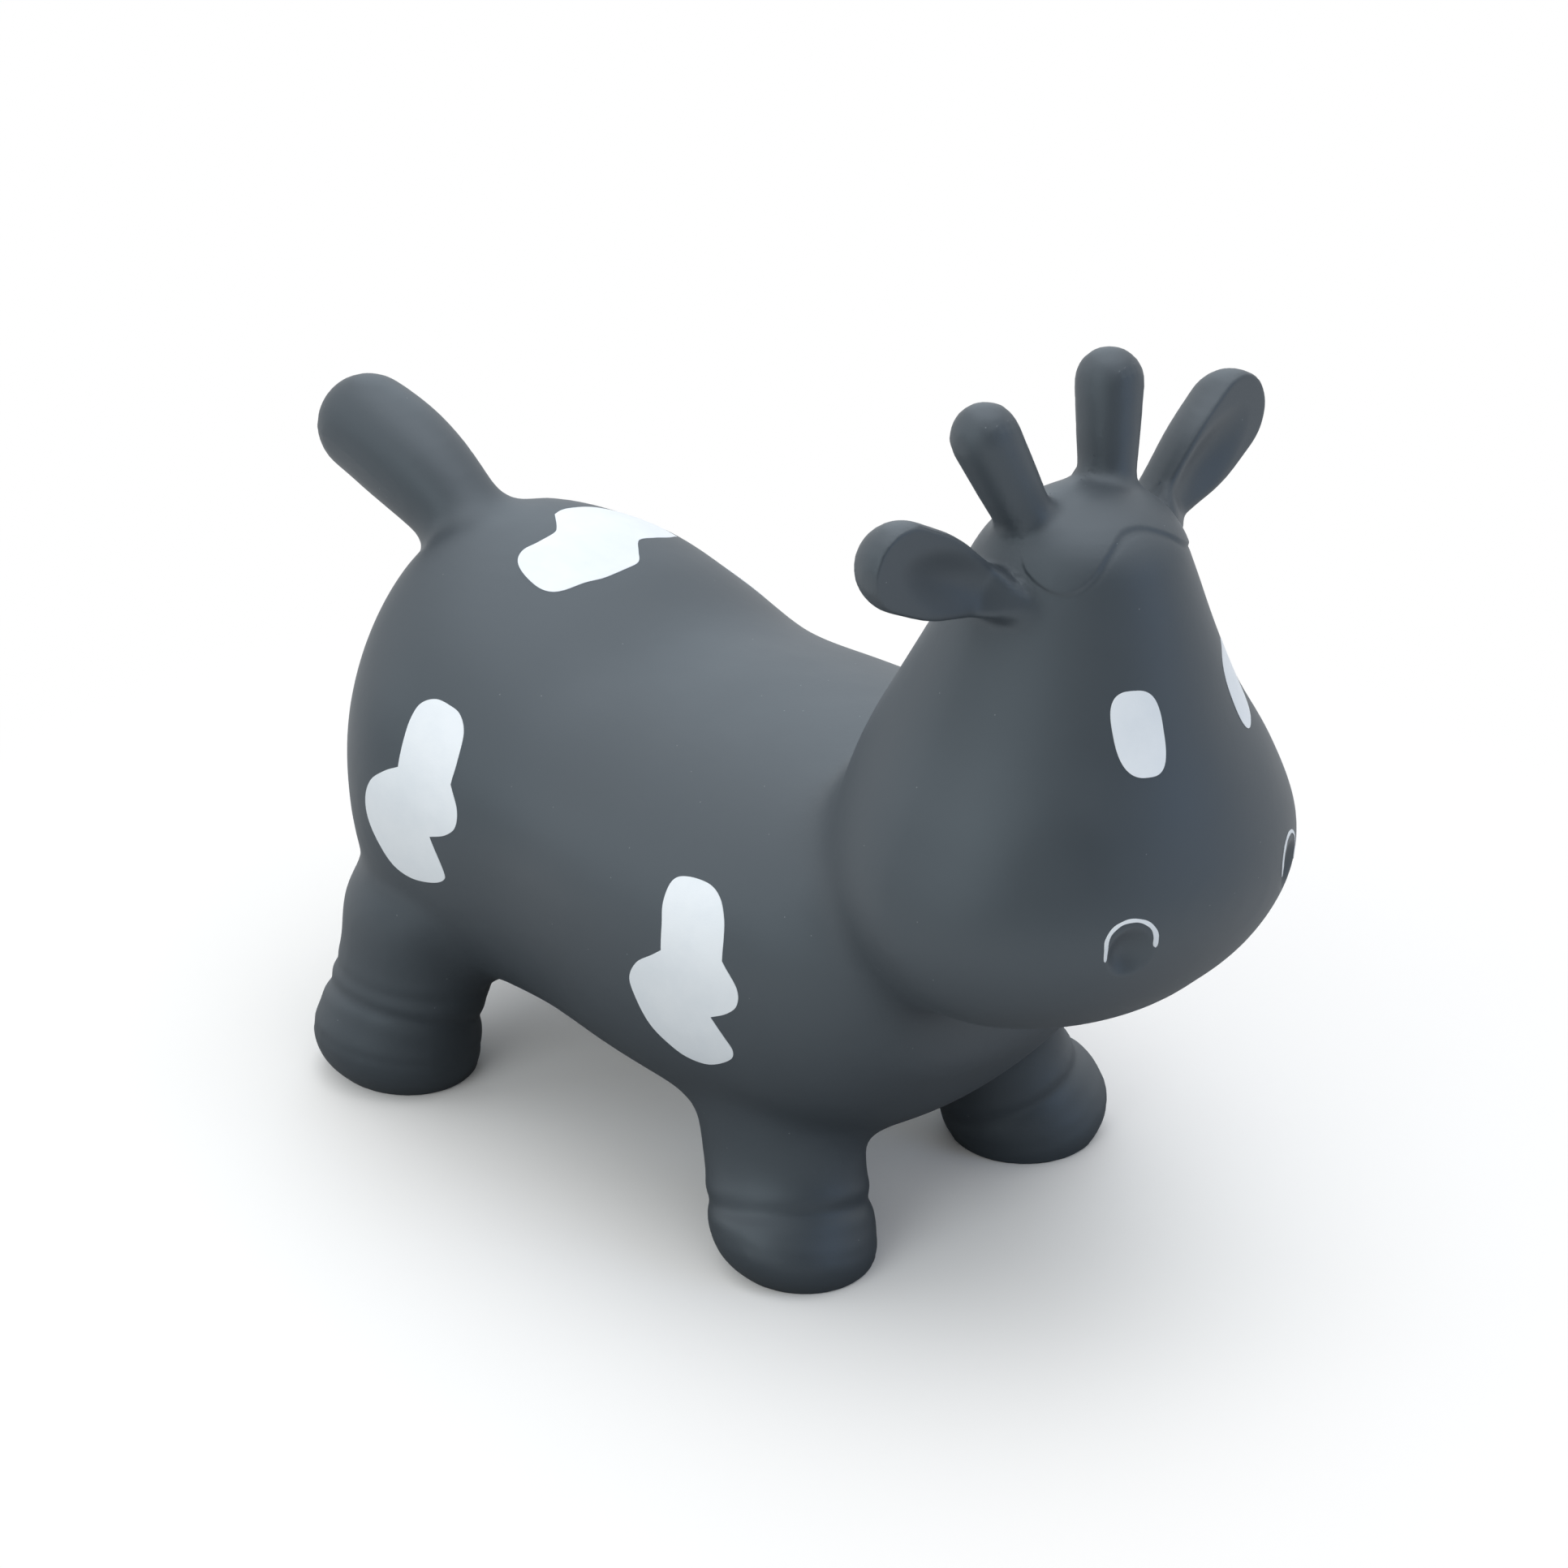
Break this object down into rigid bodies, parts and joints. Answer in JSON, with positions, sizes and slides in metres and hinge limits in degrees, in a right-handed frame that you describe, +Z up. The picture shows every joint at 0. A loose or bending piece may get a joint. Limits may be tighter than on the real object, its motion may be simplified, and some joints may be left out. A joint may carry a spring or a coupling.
{
  "type": "inflatable ride-on bouncing animal",
  "caption": "Inflated ride-on hopper shaped as a standing cow: hollow soft skin in its sections, springy horns, ears and tail, painted marks, belly air valve and plug",
  "frame": {"origin": "on the floor, under the middle of the box around the cow", "axes": "the cow faces -Y, its left side is +X and +Z is up from the floor that its soles stand on"},
  "size_m": [0.2924, 0.6372, 0.4874],
  "materials": {
    "skin": "matt charcoal soft PVC, fine moulded grain",
    "paint": "white sprayed vinyl paint, satin",
    "plug": "white moulded polyethylene, satin"
  },
  "bodies": {
    "body": {"torso": "skin", "head": "skin", "front_left_leg": "skin", "front_right_leg": "skin", "rear_left_leg": "skin", "rear_right_leg": "skin", "left_horn_root": "skin", "right_horn_root": "skin", "left_ear_root": "skin", "right_ear_root": "skin", "tail_root": "skin", "valve_seat": "skin", "back_mark": "paint", "front_left_mark": "paint", "front_right_mark": "paint", "rear_left_mark": "paint", "rear_right_mark": "paint", "left_eye": "paint", "right_eye": "paint", "left_nostril_line": "paint", "right_nostril_line": "paint"},
    "left_horn_body": {"left_horn": "skin"},
    "right_horn_body": {"right_horn": "skin"},
    "left_ear_body": {"left_ear": "skin"},
    "right_ear_body": {"right_ear": "skin"},
    "tail_body": {"tail": "skin"},
    "plug_body": {"valve_plug": "plug"}
  },
  "joints": [
    {"name": "left_horn_bend", "type": "hinge", "parent": "body", "child": "left_horn_body", "pos_m": [0.03256, -0.2029, 0.43945], "axis": [0.9498, -0.0914, -0.2991], "range_deg": [-20, 20], "stiffness_Nm_per_rad": 0.6, "deforming": ["left_horn_root"]},
    {"name": "right_horn_bend", "type": "hinge", "parent": "body", "child": "right_horn_body", "pos_m": [-0.03256, -0.2029, 0.43945], "axis": [0.9498, 0.0914, 0.2991], "range_deg": [-20, 20], "stiffness_Nm_per_rad": 0.6, "deforming": ["right_horn_root"]},
    {"name": "left_ear_bend", "type": "hinge", "parent": "body", "child": "left_ear_body", "pos_m": [0.06607, -0.2132, 0.40686], "axis": [-0.4884, -0.047, 0.8713], "range_deg": [-20, 20], "stiffness_Nm_per_rad": 0.4, "deforming": ["left_ear_root"]},
    {"name": "right_ear_bend", "type": "hinge", "parent": "body", "child": "right_ear_body", "pos_m": [-0.06607, -0.2132, 0.40686], "axis": [0.4884, -0.047, 0.8713], "range_deg": [-20, 20], "stiffness_Nm_per_rad": 0.4, "deforming": ["right_ear_root"]},
    {"name": "tail_bend", "type": "hinge", "parent": "body", "child": "tail_body", "pos_m": [0, 0.23747, 0.28372], "axis": [1, 0, 0], "range_deg": [-25, 25], "stiffness_Nm_per_rad": 1, "deforming": ["tail_root"]},
    {"name": "plug_pull", "type": "slide", "parent": "body", "child": "plug_body", "axis": [0, 0, -1], "range_m": [0, 0.01]}
  ]
}
